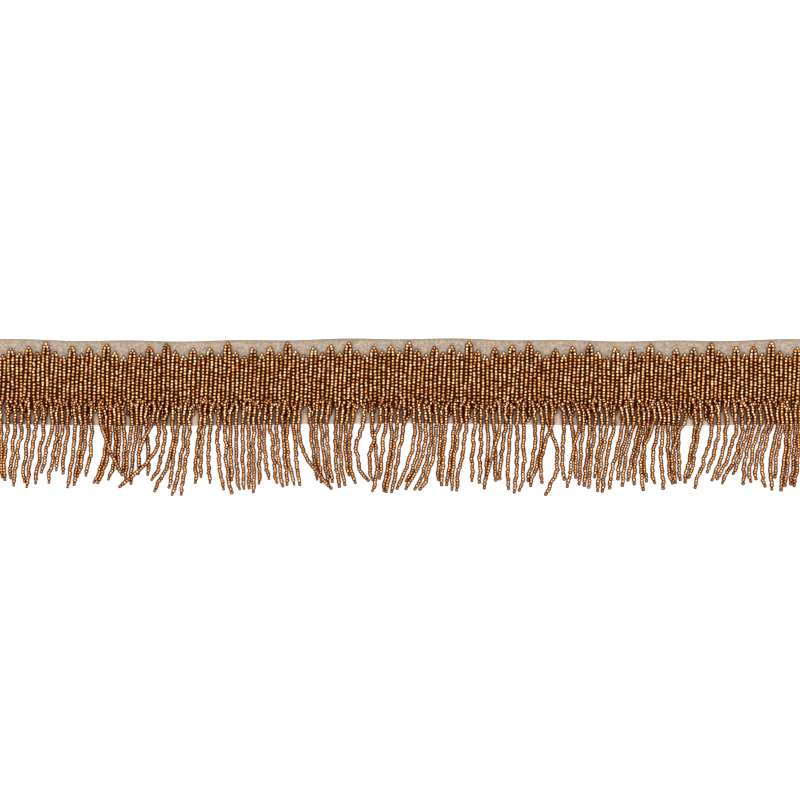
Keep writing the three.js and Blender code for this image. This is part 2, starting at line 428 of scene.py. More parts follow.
@dataclass(frozen=True)
class Heading(SubAssembly):
    """The loops of beads that cover the tape: two rows each, closed by one bead at both ends.

    slant is how far a loop leans along the trim for each millimetre across it, and shift how far
    all the loops are moved along it. closing and lean say how the rows draw together and their
    beads tilt at a loop's ends, each over its reach. The cover fields say where the tape gets
    painted shade under the loops, and the fields from disorder_from on how far chance moves, turns
    and tilts the beads, more below disorder_from, where the strands are sewn on.
    """

    trim: Trim
    half_lengths: tuple[float, ...] = (22.5, 18.0, 15.4, 19.6, 16.7, 20.2, 16.9)
    first_in_repeat: int = 2
    bead_length: float = 1.56
    height: float = 2.42
    bead_pitch: float = 1.684
    slant: float = 0.035
    shift: float = -0.7
    sections: int = 3
    end_bead_inset: float = 1.05
    first_bead_inset: float = 2.5
    closing: float = 0.2
    closing_reach: float = 0.9
    lean: float = 0.55
    lean_reach: float = 0.7
    sway: Ripple = Ripple(0.2, 5.5)
    # These three shape the painted shade on the tape under the loops.
    cover_curve: float = 0.55
    cover_fade: float = 0.7
    cover_at_end: float = 0.15
    disorder_from: float = -9.0
    disorder: float = 1.5
    length_chance: float = 0.3
    step_chance: float = 0.13
    step_limits: Span = (0.78, 1.22)
    place_chance: float = 0.09
    height_chance: float = 0.05
    tilt_chance: float = 0.09
    end_chance: float = 0.22
    crooked_share: float = 0.012
    crooked_tilt: float = 0.9

    def loops(self) -> int:
        """The number of loops along the trim."""
        return round(self.trim.length / (2 * self.trim.row_pitch))

    def cover(self, x: Floats, y: Floats) -> Floats:
        """How much painted shade the loops give the tape: 1 under their rows, and 0 a little way outside
        them.

        Args:
            x: Places along the trim.
            y: Places across it, as many.

        Returns:
            A number from 0 to 1 for each place.
        """
        pitch = 2 * self.trim.row_pitch
        across = y - self.trim.wander.at(x, self.trim.length)
        number = (x - self.shift - self.slant * across) / pitch + self.loops() / 2
        loop = np.floor(number).clip(0, self.loops() - 1).astype(int)
        from_middle = (number - loop - 0.5) * pitch
        half = np.array(self.half_lengths)[(loop + self.first_in_repeat) % len(self.half_lengths)]
        end = half - self.end_bead_inset - self.cover_curve * from_middle**2
        return ((end - np.abs(across)) / self.cover_fade + self.cover_at_end).clip(0, 1)

    def round_loop(self, half: float, rng: Chance) -> tuple[Floats, Floats, Floats, NDArray[np.bool_]]:
        """The beads' places round one loop, before chance moves them.

        Down each row the beads stand at uneven steps, which fill the row from end to end. The
        row's end beads lean in to the single bead that closes the loop.

        Args:
            half: Half the loop's length.
            rng: The seeded source of chance.

        Returns:
            Each bead's place along and across the trim, its tilt, and whether it closes the loop.
        """
        reach = half - self.first_bead_inset
        count = round(2 * reach / self.bead_pitch) + 1
        steps = rng.normal(1, self.step_chance, (2, count - 1)).clip(*self.step_limits)
        run = np.concatenate([np.zeros((2, 1)), np.cumsum(steps, axis=1)], axis=1)
        down = reach * (1 - 2 * run / run[:, -1:])
        from_end = reach - np.abs(down)
        side = self.trim.row_pitch / 2 * (1 - self.closing * bell(from_end, self.closing_reach))
        lean = self.lean * bell(from_end, self.lean_reach) * np.sign(down)
        end = half - self.end_bead_inset
        x = np.concatenate([[0.0], side[0], [0.0], -side[1, ::-1]])
        y = np.concatenate([[end], down[0], [-end], down[1, ::-1]])
        tilt = np.concatenate([[0.0], -lean[0], [0.0], lean[1, ::-1]])
        ends = np.concatenate([[True], np.zeros(count, bool), [True], np.zeros(count, bool)])
        return x, y, tilt, ends

    def loop_beads(self, loop: int, rng: Chance) -> Beads:
        """One loop's beads, in their order round it, moved and turned a little by chance.

        Args:
            loop: The loop's number, from the left.
            rng: The seeded source of chance.

        Returns:
            The beads.
        """
        pitch = 2 * self.trim.row_pitch
        middle = (loop + 0.5) * pitch - self.loops() * pitch / 2 + self.shift
        half = self.half_lengths[(loop + self.first_in_repeat) % len(self.half_lengths)]
        x, y, tilt, ends = self.round_loop(half + rng.normal(0, self.length_chance), rng)
        axes = np.stack([np.where(ends, 1.0, tilt), np.where(ends, 0.0, 1.0), np.zeros_like(x)], axis=-1)
        total = len(x)
        loose = 1 + self.disorder * (y < self.disorder_from)
        x = x + loose * rng.normal(0, self.place_chance, total) + self.sway.at(y, rng.uniform(0, FULL_TURN))
        x = x + rng.normal(0, self.end_chance) * ends + self.slant * y
        y = y + rng.normal(0, self.place_chance, total)
        z = self.height + loose * rng.normal(0, self.height_chance, total)
        axes = axes + (loose * rng.normal(0, self.tilt_chance, (3, total))).T
        crooked = rng.random(total) < self.crooked_share * loose
        axes[crooked] = axes[crooked] + rng.normal(0, self.crooked_tilt, (int(crooked.sum()), 3))
        place = middle + x
        y = y + self.trim.wander.at(place, self.trim.length)
        centres = np.stack([place, y, z], axis=-1)
        return Beads.strung(centres, axes, self.trim.bead_diameter, self.bead_length, rng)

    def build(self, rng: Chance, skin: Material, cotton: Material) -> list[Piece]:
        """The bead loops in a few joined pieces, and the thread through them.

        Args:
            rng: The seeded source of chance.
            skin: The beads' finish.
            cotton: The thread's finish.

        Returns:
            The dressed bead pieces from left to right, and the thread.
        """
        loops = [self.loop_beads(loop, rng) for loop in range(self.loops())]
        pieces = Beads.pieces(loops, self.sections, "heading_beads")
        thread = Thread().mesh("heading_thread", [each.centres for each in loops], closed=True)
        for piece in pieces:
            self.dress(piece, skin, Slot.BEADS, Node.ROWS)
        self.dress(thread, cotton, Slot.TAPE, Node.ROWS)
        return [*pieces, thread]


@dataclass(frozen=True)
class Tape(SubAssembly):
    """The woven tape, with a turned upper edge.

    turn_crest and turn_crease are each a place, in widths of the turn from the edge, and how sharp
    the ridge or the crease is there. wave_lengths belong to the two sines of the shallow waves:
    the ways along and across the tape in which the first turns by one radian, and those across
    and along it for the second. edge_line is how strong the line along the turn is. The fields
    from border_from on say where the lower part of the tape gets painted light, away from the
    strands, and how strong the painted shade beside a strand is.
    """

    trim: Trim
    heading: Heading
    strands: Strands
    thickness: float = 0.95
    ripple: Wave = Wave(0.3, 61, 12)
    turn_width: float = 1.5
    turn_height: float = 0.16
    turn_crest: Span = (0.5, 9.0)
    turn_crease: Span = (1.15, 60.0)
    wave_height: float = 0.07
    wave_lengths: tuple[float, float, float, float] = (9.1, 13.0, 7.3, 31.0)
    back_height: float = 0.03
    edge_round: float = 0.3
    edge_line: float = 0.75
    edge_line_width: float = 1.6
    # Painted light on the lower part of the tape, away from the strands and loops; border_from and
    # border_fade also bound the painted shade beside strands.
    border_from: float = -17.0
    border_fade: float = 2.0
    bare_from: float = 1.1
    bare_fade: float = 0.7
    # Painted shade beside each strand on the lower part of the tape: how dark, and how far it reaches.
    strand_shade: float = 0.6
    strand_shade_reach: float = 1.45
    steps_along: int = 500
    steps_across: int = 48

    def build(self, cloth: Material) -> Piece:
        """The tape as a closed sheet.

        The sheet is a grid: x runs along the trim, and y between the two wandering edges. Its
        face lies at the thickness, plus shallow waves, plus the turned edge's soft ridge, and
        both edges are rounded off by a quarter ellipse.

        Args:
            cloth: The tape's finish.

        Returns:
            The dressed tape.
        """
        share = (1 - np.cos(np.linspace(0, np.pi, self.steps_across + 1))) / 2
        along = np.linspace(-self.trim.length / 2, self.trim.length / 2, self.steps_along + 1)
        middle = self.trim.wander.at(along, self.trim.length)
        low = (middle - self.trim.tape_width / 2)[:, None]
        high = (middle + self.trim.tape_width / 2 + self.ripple.at(along, self.trim.length))[:, None]
        y = low + (high - low) * share[None, :]
        x = np.broadcast_to(along[:, None], y.shape)
        from_edge = high - y
        inward = np.minimum(y - low, from_edge)
        rounding = np.sqrt(1 - (1 - (inward / self.edge_round).clip(0, 1)) ** 2)
        half = self.thickness / 2
        top = half + (half + self.waves(x, y) + self.turn(from_edge)) * rounding
        bottom = half - (half - self.back_height) * rounding
        face, back = np.stack([x, y, top], axis=-1), np.stack([x, y, bottom], axis=-1)
        tape = mesh_object("tape", *self.shell(face, back))
        self.mark(tape, x, y, from_edge)
        self.dress(tape, cloth, Slot.TAPE, Node.TAPE)
        return tape

    def waves(self, x: Floats, y: Floats) -> Floats:
        """The height of the shallow waves: a sine mostly along the tape times one mostly across it."""
        first, second, third, fourth = self.wave_lengths
        return self.wave_height * np.sin(x / first + y / second) * np.sin(y / third + x / fourth)

    def turn(self, from_edge: Floats) -> Floats:
        """The turned edge's height: a soft ridge, less a narrow crease beside it.

        Args:
            from_edge: How far each place is from the upper edge.

        Returns:
            The height for each place.
        """
        place = from_edge / self.turn_width
        (crest, soft), (crease, sharp) = self.turn_crest, self.turn_crease
        ridge, groove = np.exp(-((place - crest) ** 2) * soft), np.exp(-((place - crease) ** 2) * sharp)
        return self.turn_height * (ridge - groove)

    def mark(self, tape: Piece, x: Floats, y: Floats, from_edge: Floats) -> None:
        """Gives the tape's points the numbers that its finish reads.

        border is painted light where the tape's lower part lies away from strands and loops,
        turned_edge the line along the turn, and painted_shade_mask the painted shade under and beside
        beads. The back has only the turned edge.

        Args:
            tape: The tape.
            x: Its grid's places along the trim.
            y: Its grid's places across it.
            from_edge: How far each place is from the upper edge.
        """
        edge = self.edge_line * (1 - from_edge / self.edge_line_width).clip(0, 1)
        # Painted shade: dark under the loops, and on the lower part beside each strand.
        painted_shade_mask = self.heading.cover(x, y)
        below = ((self.border_from - y) / self.border_fade).clip(0, 1)
        nearest = self.nearest_strand(x, y)
        # Painted light: paler where the lower part lies away from the strands and from the loops.
        border = below * ((nearest - self.bare_from) / self.bare_fade).clip(0, 1) * (1 - painted_shade_mask)
        painted_shade_mask = np.maximum(painted_shade_mask, self.strand_shade * below * bell(nearest, self.strand_shade_reach))
        point_attribute(tape, "border", np.stack([border, np.zeros_like(border)]))
        point_attribute(tape, "turned_edge", np.stack([edge, edge]))
        point_attribute(tape, "painted_shade_mask", np.stack([painted_shade_mask, np.zeros_like(painted_shade_mask)]))

    def nearest_strand(self, x: Floats, y: Floats) -> Floats:
        """How far the nearest strand lies along the trim.

        Args:
            x: Places along the trim.
            y: Places across it, as many.

        Returns:
            The distance for each place.
        """
        first, second = self.strands.line_y[:2]
        share = (first - y[..., None]) / (first - second)
        root, edge = self.strands.across[:, 0], self.strands.across[:, 1]
        return np.abs(x[..., None] - root - share * (edge - root)).min(axis=-1)

    def shell(self, face: Floats, back: Floats) -> tuple[Floats, Ints]:
        """A closed shell between two grids of the same size.

        Args:
            face: The upper grid's points.
            back: The lower grid's points.

        Returns:
            The points, and four corner numbers for each face.
        """
        rows, columns = face.shape[:2]
        number = np.arange(rows * columns).reshape(rows, columns)
        under = number + rows * columns
        quads = np.concatenate([
            faces_between(number[:-1, :-1], number[1:, :-1], number[1:, 1:], number[:-1, 1:]),
            faces_between(under[:-1, :-1], under[:-1, 1:], under[1:, 1:], under[1:, :-1]),
            faces_between(under[:-1, 0], under[1:, 0], number[1:, 0], number[:-1, 0]),
            faces_between(number[:-1, -1], number[1:, -1], under[1:, -1], under[:-1, -1]),
            faces_between(number[0, :-1], number[0, 1:], under[0, 1:], under[0, :-1]),
            faces_between(under[-1, :-1], under[-1, 1:], number[-1, 1:], number[-1, :-1]),
        ])
        return np.concatenate([face.reshape(-1, 3), back.reshape(-1, 3)]), quads


@dataclass(frozen=True)
class Lock:
    """Strands that lie together. Places are measured from the trim's left end.

    start and end say where the lock crosses the tape's lower edge, sway and lean how far it has
    moved along the trim at half its drop and at its tips, gather its width at the tips as a share
    of its width at the edge, and drop how far its tips lie below the tape.
    """

    strands: int
    start: float
    end: float
    sway: float
    lean: float
    gather: float
    drop: float
    over: bool = False


# strands, start, end, sway, lean, gather, drop, and True where the strand crosses others
LOCKS = (
    Lock(7, 1.5, 25.6, -2.4, -4.3, 0.9, 32.1),
    Lock(4, 30.7, 39.1, -2.8, -5.3, 1.4, 30.8),
    Lock(4, 43.3, 52.3, -1.7, -5.1, 0.95, 33.5),
    Lock(1, 57.9, 57.9, 5.9, 13.5, 1, 31.4, True),
    Lock(3, 60.7, 65.8, -1.7, -8.1, 1.3, 34.2),
    Lock(2, 66.9, 69.3, 0, 0.5, 1.4, 30),
    Lock(4, 74.8, 82.3, -1.1, -2.2, 1.9, 31.4),
    Lock(1, 86.6, 86.6, -6.6, -8, 1, 28.8, True),
    Lock(1, 88.9, 88.9, -2.5, -17.4, 1, 31.4, True),
    Lock(2, 93.4, 97.3, -1.8, -9, 0.6, 35.3),
    Lock(3, 100.9, 106.9, -1.9, -5.5, 1.2, 37.3),
    Lock(3, 112.9, 118.7, -1.9, -1, 1.3, 34),
    Lock(4, 123.4, 133, 0.3, 1.8, 0.85, 35.7),
    Lock(4, 137.2, 145.9, -0.1, 0.6, 0.95, 37.8),
    Lock(6, 149.1, 165.3, 1.3, 3.1, 1, 36),
    Lock(1, 168.1, 168.1, 4.2, 18.6, 1, 35.9, True),
    Lock(4, 174.7, 183.9, 1.3, 3.9, 1, 32.9),
    Lock(4, 189.4, 198, -0.6, 1.6, 0.95, 32.8),
    Lock(1, 204.4, 204.4, -4, 4, 1, 32.5, True),
    Lock(1, 209.2, 209.2, 2.6, 1.7, 1, 34),
    Lock(1, 214, 214, -6.2, -5.3, 1, 32.5, True),
    Lock(4, 217.1, 227.1, -2.4, -5.7, 0.7, 35.1),
    Lock(5, 233.2, 245.3, -1.8, -9.1, 1.1, 34.3),
    Lock(2, 248.1, 250.9, -1.6, -2.3, 0.9, 36.4),
    Lock(3, 255.9, 262, -2.7, -5.6, 0.95, 34.3),
    Lock(4, 267.2, 277.3, -0.1, -0.8, 1.3, 33.9),
    Lock(1, 281.2, 281.2, -3.2, -9.2, 1, 30.8, True),
    Lock(4, 284.1, 294.2, -0.9, -1.7, 1.4, 36.8),
    Lock(2, 300.9, 304.8, -1.7, -7.3, 0.75, 33.9),
    Lock(1, 307.7, 307.7, 5.3, 0, 1, 36.4),
    Lock(1, 310.4, 310.4, -5.3, -5.9, 1, 34.2, True),
    Lock(1, 317.2, 317.2, -1.6, -1.1, 1, 32.8),
    Lock(1, 321.2, 321.2, 2.6, 1.9, 1, 35.3),
    Lock(1, 325.7, 325.7, -4, -7.3, 1, 31.7, True),
    Lock(6, 328.2, 345.1, -2.9, -4.3, 0.8, 34.8),
    Lock(5, 350.3, 362, -4.3, -7, 1.15, 35.6),
    Lock(1, 364.5, 364.5, -2.7, 0.6, 1, 36.4),
    Lock(1, 367.1, 367.1, -6.5, -7.3, 1, 33.1, True),
    Lock(3, 370.4, 375.6, -2.1, -1.1, 2.2, 34.4),
    Lock(2, 377.9, 380.8, 0.5, 0.7, 1, 32.5),
    Lock(1, 383.9, 383.9, -6, -5.9, 1, 30.5, True),
    Lock(2, 390.3, 393.1, -3, -6.1, 1, 33.3),
    Lock(3, 399.8, 408, -3, -9.3, 1.15, 32.1),
    Lock(3, 413.9, 420.8, -4.3, -11.1, 1.25, 32),
    Lock(3, 424, 431.4, -5.8, -6.9, 0.85, 33.5),
    Lock(3, 433.6, 441.3, -5, -4.6, 0.85, 35.1),
    Lock(4, 442.6, 448.8, -1.5, -3.3, 1.4, 33.5),
)


@dataclass(frozen=True)
class Pairs:
    """How neighbours lean together in pairs below the tape.

    pull is how far each leans, times a chance for each strand, and lift how much higher the
    second of the two lies. Both grow over fade, from start above the tape's lower edge on.
    """

    pull: float = 0.32
    chance: Span = (0.3, 1.4)
    lift: float = 1.1
    start: float = 2.0
    fade: float = 9.0


@dataclass(frozen=True)
class Crooks:
    """How crooked the strands are: each has its own ripples where it has room, and all share some.

    The shared ripples drift along the trim. room_from is a gap in which a strand hardly moves
    aside, and room_fade how much wider the gap is where it moves freely.
    """

    own: tuple[Ripple, Ripple] = (Ripple(0.26, 2.3), Ripple(0.18, 0.85))
    shared: tuple[Ripple, Ripple] = (Ripple(0.2, 1.9), Ripple(0.12, 0.8))
    drift_length: float = 4.1
    drift_bend: Ripple = Ripple(2, 9.7)
    room_from: float = 2.2
    room_fade: float = 1.6
    room_least: float = 0.15

    def alone(self, y: Floats, phase: Floats) -> Floats:
        """How far a strand's own ripples move it aside at each y."""
        return self.own[0].at(y, phase[0]) + self.own[1].at(y, phase[1])

    def together(self, y: Floats, across: Floats) -> Floats:
        """How far the shared ripples move a strand aside, from its places y and across."""
        drift = across / self.drift_length + self.drift_bend.at(across)
        return self.shared[0].at(y, drift) + self.shared[1].at(y, -2 * drift)

    def room(self, places: Floats, index: int) -> Floats:
        """How freely a strand can move on each line, by the nearer of its two neighbours.

        Args:
            places: Each strand's place on each line.
            index: The strand's number.

        Returns:
            A number up to 1 for each line.
        """
        gaps = np.diff(np.sort(places, axis=0), axis=0)
        order = np.argsort(np.argsort(places, axis=0), axis=0)[index]
        lines = np.arange(places.shape[1])
        right, left = gaps[np.minimum(order, len(gaps) - 1), lines], gaps[np.maximum(order - 1, 0), lines]
        free = (np.minimum(right, left) - self.room_from) / self.room_fade
        return np.clip(free, self.room_least, 1)


@dataclass(frozen=True)
class Roots:
    """How a strand comes up out of the stitches, and the beads that lie turned across them.

    start is where it starts, from the root line, sink how far its root is down in the stitches,
    and swing how far aside it comes up, each over its reach. The turned fields are the ranges of
    the turned beads' places, with x from the strand's root, how they tilt, and how much lighter
    their tones are made, as a painted highlight.
    """

    start: Span = (-3.2, 1.6)
    sink: float = 1.9
    sink_reach: float = 1.1
    swing: Span = (-1.6, 1.6)
    swing_reach: float = 1.8
    turned_x: Span = (-1.9, 1.9)
    turned_y: Span = (-16.5, -9.6)
    turned_z: Span = (4.1, 4.8)
    turned_tilt: float = 0.35
    # Painted highlight: the turned beads' tones are multiplied by this.
    turned_painted_light: float = 1.4


@dataclass(frozen=True)
class Tips:
    """The last bead of a strand: most are turned across it, and some laid flat as a ring.

    flat_from is a place along the trim. The flat ones are rarer to its left.
    """

    flat_from: float = 50.0
    flat_share_left: float = 0.04
    flat_share_right: float = 0.22
    flat_axis: Place = (0.2, 0.16, 1.0)
    turned_slope: float = 0.1


@dataclass(frozen=True)
class Fringe(SubAssembly):
    """The loose strands.

    Their places are worked out as in the part's own solids, but their roots are spaced less
    evenly: each follows its strand's place at the tape's lower edge, by the share root_follow.
    The lines run along the trim and cross the strands, and the first two lie over the loops. The
    stray fields say how far strands stray from their locks. The fields from path_step on are for
    the single beads, which the solids don't have.
    """

    trim: Trim
    locks: tuple[Lock, ...] = LOCKS
    over_loops: float = 4.0
    root_line: float = -10.5
    loops_line: float = -22.0
    edge_line: float = -24.0
    floor_line: float = -28.5
    floor_step: float = 7.0
    floor_steps: int = 6
    pitch_min: float = 2.46
    passes: int = 200
    margin: float = 1.2
    width: float = 2.1
    lift: float = 2.5
    gap: float = 0.3
    stray_middle: float = 0.5
    stray_tip: float = 1.2
    stray_line: float = 0.3
    stray_drop: float = 4.5
    root_follow: float = 0.65
    path_step: float = 0.25
    pairs: Pairs = Pairs()
    crooks: Crooks = Crooks()
    roots: Roots = Roots()
    tips: Tips = Tips()
    bead_diameter: float = 2.35
    bead_length: float = 1.56
    bead_pitch: float = 1.5
    place_chance: float = 0.08
    tilt_chance: float = 0.09
    # Painted highlight: strand beads' tones are multiplied by factors going from the first, low down, to the
    # second on the loops.
    painted_light_lines: Span = (-27.0, -19.0)
    painted_light_factors: Span = (0.85, 1.4)
    sections: int = 4

    def column(self, name: str) -> Floats:
        """One of the locks' numbers, repeated for each strand of its lock."""
        values = [float(getattr(lock, name)) for lock in self.locks]
        return np.repeat(values, [lock.strands for lock in self.locks])

    def lay(self) -> Strands:
        """Lays the strands: by their locks, then side by side, with the crossing ones on top.

        Down to the tape's edge a strand runs straight. From there it moves along the trim by
        4 * sway * fall * (1 - fall) + lean * fall * (2 * fall - 1), with fall from 0 to 1 at the
        lock's drop.

        Returns:
            The strands' places.
        """
        count = np.array([lock.strands for lock in self.locks])
        member = np.concatenate([np.arange(strands) for strands in count])
        mates = np.repeat(count, count)
        share = member / np.maximum(mates - 1, 1) - np.where(mates > 1, 0.5, 0)
        index = np.arange(len(member), dtype=float)
        start, end, drop = self.column("start"), self.column("end"), self.column("drop")
        spread = share * (end - start)
        root = ((index + 0.5) / len(index) - 0.5) * self.trim.length
        edge = (start + end - self.trim.length) / 2 + spread
        root = root + self.root_follow * (edge - root)
        opening = spread * (self.column("gather") - 1)
        sway = self.column("sway") + opening / 2 + self.stray_middle * scatter(index, Series.SWAY)
        lean = self.column("lean") + opening + self.stray_tip * scatter(index, Series.LEAN)
        tip = self.edge_line - drop - self.stray_drop * scatter(index, Series.DROP)
        floor_y = self.floor_line - self.floor_step * np.arange(self.floor_steps + 1)
        line_y = np.concatenate([[self.root_line, self.loops_line], floor_y])
        base = np.concatenate([[self.over_loops] * 2, np.zeros(len(floor_y))])
        across = np.zeros((len(index), len(line_y)))
        for line, y in enumerate(line_y):
            if y > self.edge_line:
                part = (self.root_line - y) / (self.root_line - self.edge_line)
                across[:, line] = root + part * (edge - root)
            else:
                fall = (self.edge_line - y) / drop
                across[:, line] = edge + 4 * sway * fall * (1 - fall) + lean * fall * (2 * fall - 1)
            if line:
                across[:, line] += self.stray_line * scatter(index, Series.DROP + line)
        over = self.column("over") > 0
        beneath = np.flatnonzero(~over)
        for line in range(len(line_y)):
            across[beneath, line] = self.spread_apart(across[beneath, line])
        level = self.lift_over(across, beneath, np.flatnonzero(over))
        return Strands(line_y, base, across, level, tip)

    def spread_apart(self, row: Floats) -> Floats:
        """Pushes strands that are too close on a line apart, half the way each, many times.

        Args:
            row: The strands' places on the line, in the strands' order.

        Returns:
            Their new places.
        """
        placed = row.tolist()
        reach = self.trim.length / 2 - self.margin
        for _ in range(self.passes):
            for right in range(1, len(placed)):
                push = max(0.0, self.pitch_min - (placed[right] - placed[right - 1])) / 2
                placed[right - 1] = max(-reach, placed[right - 1] - push)
                placed[right] = min(reach, placed[right] + push)
        return np.array(placed)

    def lift_over(self, across: Floats, beneath: Ints, over: Ints) -> Floats:
        """Lifts each crossing strand over all that it meets between two lines.

        Args:
            across: Each strand's place on each line.
            beneath: The strands that lie on the floor.
            over: The strands that cross others.

        Returns:
            How many strands each one lies on, at each line.
        """
        level = np.zeros_like(across)
        settled = beneath.tolist()
        for strand in over:
            for line in range(across.shape[1] - 1):
                here = across[strand, line] - across[settled, line]
                after = across[strand, line + 1] - across[settled, line + 1]
                nearest = np.where(here * after < 0, 0, np.minimum(np.abs(here), np.abs(after)))
                met = nearest < self.width + self.gap
                if met.any():
                    heights = np.maximum(level[settled, line], level[settled, line + 1])[met]
                    needed = heights.max() + 1
                    level[strand, line] = max(level[strand, line], needed)
                    level[strand, line + 1] = max(level[strand, line + 1], needed)
            settled.append(strand)
        return level

    def between_lines(self, lines: Floats, knots: Floats, down: Floats) -> Floats:
        """A strand's places between the lines, on a smooth curve through its places on them.

        The curve is a cubic from line to line, with each line's slope taken from its neighbours.

        Args:
            lines: How far down each line is.
            knots: The strand's place on each line.
            down: How far down the places asked for are.

        Returns:
            The places along the trim.
        """
        slopes = np.gradient(knots, lines)
        left = np.clip(np.searchsorted(lines, down, side="right") - 1, 0, len(lines) - 2)
        gap = lines[left + 1] - lines[left]
        t = (down - lines[left]) / gap
        return (
            (2 * t**3 - 3 * t**2 + 1) * knots[left]
            + (t**3 - 2 * t**2 + t) * gap * slopes[left]
            + (3 * t**2 - 2 * t**3) * knots[left + 1]
            + (t**3 - t**2) * gap * slopes[left + 1]
        )

    def strand_path(self, strands: Strands, index: int, rng: Chance) -> Floats:
        """A strand's middle line, from its root to its tip, in even steps across the trim.

        It is a smooth curve through the strand's places on the lines, plus ripples, plus the lean
        towards its neighbour. The height follows the lines, plus the pair's lift, and starts low
        in the stitches.

        Args:
            strands: The strands' places.
            index: The strand's number.
            rng: The seeded source of chance.

        Returns:
            The points of the line.
        """
        lines = -strands.line_y
        start = self.root_line + rng.uniform(*self.roots.start)
        y = np.arange(start, strands.tip[index] + self.bead_diameter / 2, -self.path_step)
        down = np.clip(-y, lines[0], None)
        across = self.between_lines(lines, strands.across[index], down)
        room = np.interp(down, lines, self.crooks.room(strands.across, index))
        wobble = self.crooks.alone(y, rng.uniform(0, 2 * np.pi, 2))
        together = self.crooks.together(y, across)
        free = ((self.edge_line + self.pairs.start - y) / self.pairs.fade).clip(0, 1)
        pull = self.pairs.pull * (-1) ** index * rng.uniform(*self.pairs.chance) * free
        swing = rng.uniform(*self.roots.swing) * bell(start - y, self.roots.swing_reach)
        height = np.interp(down, lines, strands.base + self.lift * strands.level[index])
        height = height + self.bead_diameter / 2 + self.pairs.lift * (index % 2) * free
        height = height - self.roots.sink * bell(start - y, self.roots.sink_reach)
        return np.stack([across + room * wobble + together + pull + swing, y, height], axis=-1)

    def strand_beads(self, path: Floats, rng: Chance) -> Beads:
        """The beads along one strand, with the last one turned across it or laid flat.

        Args:
            path: The strand's middle line.
            rng: The seeded source of chance.

        Returns:
            The beads from root to tip, painted lighter on the loops than below the tape as a painted
            highlight.
        """
        step = np.linalg.norm(np.diff(path, axis=0), axis=1)
        run = np.concatenate([[0], np.cumsum(step)])
        places = np.arange(self.bead_pitch / 2, run[-1], self.bead_pitch)
        centres = np.stack([np.interp(places, run, path[:, axis]) for axis in range(3)], axis=-1)
        centres[:, :2] += rng.normal(0, self.place_chance, (len(places), 2))
        axes = unit(np.gradient(centres, axis=0)) + rng.normal(0, self.tilt_chance, (len(places), 3))
        tips = self.tips
        way = unit(centres[-1] - centres[-3])
        share = tips.flat_share_right if centres[-1, 0] > tips.flat_from else tips.flat_share_left
        flat = rng.random() < share
        axes[-1] = tips.flat_axis if flat else (way[1], -way[0], tips.turned_slope)
        centres[-1] = centres[-2] + way * (self.bead_length + self.bead_diameter) / 2
        centres[-1, 2] = min(centres[-1, 2], centres[-2, 2])
        beads = Beads.strung(centres, axes, self.bead_diameter, self.bead_length, rng)
        # Painted highlight: lighter tones on the loops, darker ones below the tape.
        beads.lighten(np.interp(centres[:, 1], self.painted_light_lines, self.painted_light_factors))
        beads.tones[-1] = 0
        return beads

    def turned_beads(self, strands: Strands, rng: Chance) -> Beads:
        """Beads that lie across the stitches where the strands are sewn on, turned every way.

        Args:
            strands: The strands' places.
            rng: The seeded source of chance.

        Returns:
            The beads, one for each strand.
        """
        roots, count = self.roots, len(strands.across)
        x = strands.across[:, 0] + rng.uniform(*roots.turned_x, count)
        y = rng.uniform(*roots.turned_y, count)
        z = rng.uniform(*roots.turned_z, count)
        turn = rng.uniform(0, np.pi, count)
        axes = np.stack([np.cos(turn), np.sin(turn), rng.normal(0, roots.turned_tilt, count)], axis=-1)
        centres = np.stack([x, y, z], axis=-1)
        beads = Beads.strung(centres, axes, self.trim.bead_diameter, self.bead_length, rng)
        # Painted highlight: the turned beads' tones are made lighter.
        beads.lighten(roots.turned_painted_light)
        return beads

    def build(self, strands: Strands, rng: Chance, skin: Material, cotton: Material) -> list[Piece]:
        """The fringe's beads in a few joined pieces, and the thread through them.

        Args:
            strands: The strands' places, from lay().
            rng: The seeded source of chance.
            skin: The beads' finish.
            cotton: The thread's finish.

        Returns:
            The dressed bead pieces from left to right, then the turned beads, then the thread.
        """
        paths = [self.strand_path(strands, index, rng) for index in range(len(strands.tip))]
        strung = [self.strand_beads(path, rng) for path in paths]
        pieces = Beads.pieces(strung, self.sections, "fringe_beads")
        pieces.append(self.turned_beads(strands, rng).mesh("turned_beads"))
        thread = Thread().mesh("fringe_thread", [each.centres for each in strung], closed=False)
        for piece in pieces:
            self.dress(piece, skin, Slot.BEADS, Node.FRINGE)
        self.dress(thread, cotton, Slot.TAPE, Node.FRINGE)
        return [*pieces, thread]


def node(tree: Tree, kind: str, **settings: object) -> bpy.types.Node:
    """A new shader node with its settings.

    Args:
        tree: The node tree that it goes into.
        kind: Blender's name for this sort of node.
        settings: The node's own properties by name.

    Returns:
        The node.
    """
    made = tree.nodes.new(kind)
    for name, value in settings.items():
        setattr(made, name, value)
    return made


def attribute(tree: Tree, name: str) -> Socket:
    """The output with a mesh's numbers of that name, one for each point."""
    return node(tree, "ShaderNodeAttribute", attribute_name=name).outputs["Fac"]


def grey(level: float) -> tuple[float, float, float, float]:
    """A grey as a colour socket takes it."""
    return (level, level, level, 1.0)


def feed(tree: Tree, socket: Socket, source: Socket | Colour | float) -> None:
    """Links an input to an output, or sets it to a colour or a number.

    Args:
        tree: The material's node tree.
        socket: The input.
        source: The output, colour or number.
    """
    if isinstance(source, bpy.types.NodeSocket):
        tree.links.new(source, socket)
    elif isinstance(source, tuple):
        socket.default_value = (*source, 1)
    else:
        socket.default_value = source


